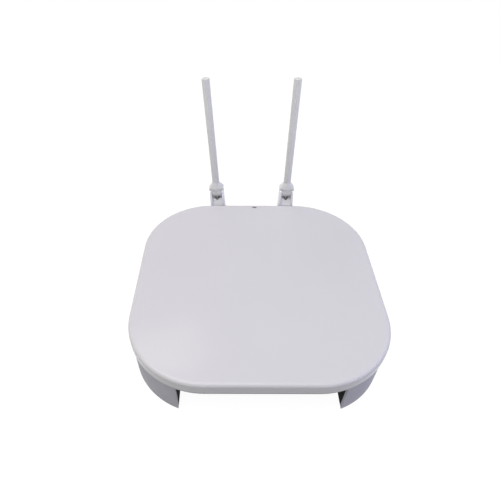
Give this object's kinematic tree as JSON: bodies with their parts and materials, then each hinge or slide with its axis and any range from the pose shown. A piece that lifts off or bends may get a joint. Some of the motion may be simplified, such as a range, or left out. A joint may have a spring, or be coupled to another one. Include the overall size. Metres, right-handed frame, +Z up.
{
  "type": "wireless router",
  "caption": "Low rounded-square desktop wireless router with a cable recess under its front edge and whip antennas on swivelling, tilting bases at the back.",
  "frame": {"origin": "on the surface it stands on, under the middle of the whole object, 5.2 mm behind the cover's centre", "axes": "+Z up, +Y from the cable recess to the antennas, +X to the right seen from the recess"},
  "size_m": [0.2, 0.2104, 0.1641],
  "materials": {
    "housing_plastic": "fine satin, moulded",
    "bay_plastic": "fine texture, moulded",
    "cover_plastic": "soft gloss, moulded",
    "antenna_plastic": "satin, moulded",
    "base_plastic": "satin, moulded",
    "stud_plastic": "satin",
    "button_plastic": "satin",
    "foot_rubber": "matte grey",
    "label_paper": "satin film, blank",
    "board_laminate": "solder mask",
    "jack_plastic": "fine matte",
    "wan_jack_plastic": "fine matte",
    "tinned_sheet": "bright tinned",
    "gold_plate": "bright plated",
    "brass": "drawn",
    "steel": "zinc plated",
    "chip_plastic": "matte moulded",
    "pad_silicone": "soft matte",
    "black_aluminium": "black anodised",
    "can_aluminium": "sleeved can",
    "ferrite": "ground ferrite",
    "lens_plastic": "clear moulding",
    "washer_nylon": "natural",
    "cable_jacket": "smooth jacket"
  },
  "bodies": {
    "housing": {"bottom_housing": "housing_plastic", "port_bay": "bay_plastic", "bay_screws": "steel", "top_cover": "cover_plastic", "rubber_feet": "foot_rubber", "housing_screws": "steel", "board_screws": "steel", "rating_label": "label_paper", "main_board": "board_laminate", "wan_jack": "wan_jack_plastic", "lan_jack_1": "jack_plastic", "lan_jack_2": "jack_plastic", "lan_jack_3": "jack_plastic", "lan_jack_4": "jack_plastic", "jack_shields": "tinned_sheet", "jack_contacts": "gold_plate", "power_jack": "chip_plastic", "power_jack_pin": "gold_plate", "power_switch": "chip_plastic", "reset_switch": "tinned_sheet", "processor": "chip_plastic", "memory_chips": "chip_plastic", "radio_chip": "chip_plastic", "thermal_pad": "pad_silicone", "heat_sink": "black_aluminium", "radio_shield": "tinned_sheet", "network_transformers": "chip_plastic", "capacitors": "can_aluminium", "inductors": "ferrite", "status_led": "lens_plastic", "light_pipe": "lens_plastic", "coax_connectors": "gold_plate", "swivel_washers": "washer_nylon", "left_pigtail": "cable_jacket", "right_pigtail": "cable_jacket"},
    "left_base": {"left_swivel_base": "base_plastic", "left_swivel_clip": "steel", "left_hinge_studs": "stud_plastic", "left_base_coax": "cable_jacket"},
    "left_antenna": {"left_radome": "antenna_plastic", "left_tip_cap": "antenna_plastic", "left_radiator": "brass", "left_antenna_coax": "cable_jacket"},
    "right_base": {"right_swivel_base": "base_plastic", "right_swivel_clip": "steel", "right_hinge_studs": "stud_plastic", "right_base_coax": "cable_jacket"},
    "right_antenna": {"right_radome": "antenna_plastic", "right_tip_cap": "antenna_plastic", "right_radiator": "brass", "right_antenna_coax": "cable_jacket"},
    "power_button": {"power_button": "button_plastic"},
    "reset_button": {"reset_button": "chip_plastic"}
  },
  "joints": [
    {"name": "left_swivel", "type": "hinge", "parent": "housing", "child": "left_base", "pos_m": [-0.0347, 0.1006, 0.0246], "axis": [0, 1, 0], "range_deg": [-86, 15]},
    {"name": "left_tilt", "type": "hinge", "parent": "left_base", "child": "left_antenna", "pos_m": [-0.03648, 0.1006, 0.05405], "axis": [-0.9982, 0, -0.0602], "range_deg": [0, 90]},
    {"name": "right_swivel", "type": "hinge", "parent": "housing", "child": "right_base", "pos_m": [0.0326, 0.1006, 0.0246], "axis": [0, -1, 0], "range_deg": [-90, 12]},
    {"name": "right_tilt", "type": "hinge", "parent": "right_base", "child": "right_antenna", "pos_m": [0.03242, 0.1006, 0.0541], "axis": [-1, 0, -0.0061], "range_deg": [0, 90]},
    {"name": "power_button_press", "type": "slide", "parent": "housing", "child": "power_button", "axis": [0, 1, 0], "range_m": [0, 0.002], "stiffness_N_per_m": 400},
    {"name": "reset_button_press", "type": "slide", "parent": "housing", "child": "reset_button", "axis": [0, 1, 0], "range_m": [0, 0.0005], "stiffness_N_per_m": 800}
  ]
}
